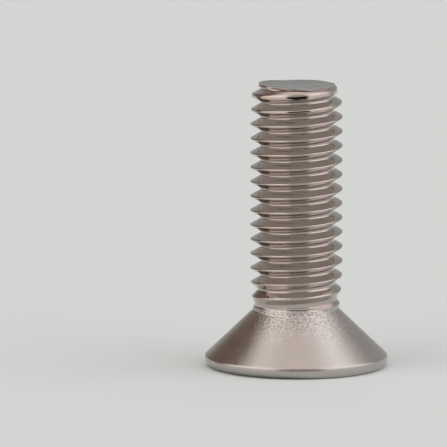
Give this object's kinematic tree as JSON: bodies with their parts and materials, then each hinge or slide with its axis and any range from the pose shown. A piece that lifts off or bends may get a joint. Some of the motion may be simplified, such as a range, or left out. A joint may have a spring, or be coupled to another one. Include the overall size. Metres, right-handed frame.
{
  "type": "countersunk socket screw",
  "caption": "Flat-head countersunk machine screw with a hexagon socket, a 90 degree cone under the head and a fully threaded shank, standing on its head.",
  "frame": {"origin": "centre of the flat face of the head, which is the face the screw stands on", "axes": "+Z runs from the head up the shank to the end of the thread; +X is the side towards which the sheared end leans down"},
  "size_m": [0.0158, 0.0158, 0.0246],
  "materials": {
    "steel": "warm grey stainless steel, as rolled: satin head, brighter crests and roots on the thread"
  },
  "bodies": {
    "root": {"screw": "steel"}
  },
  "joints": []
}
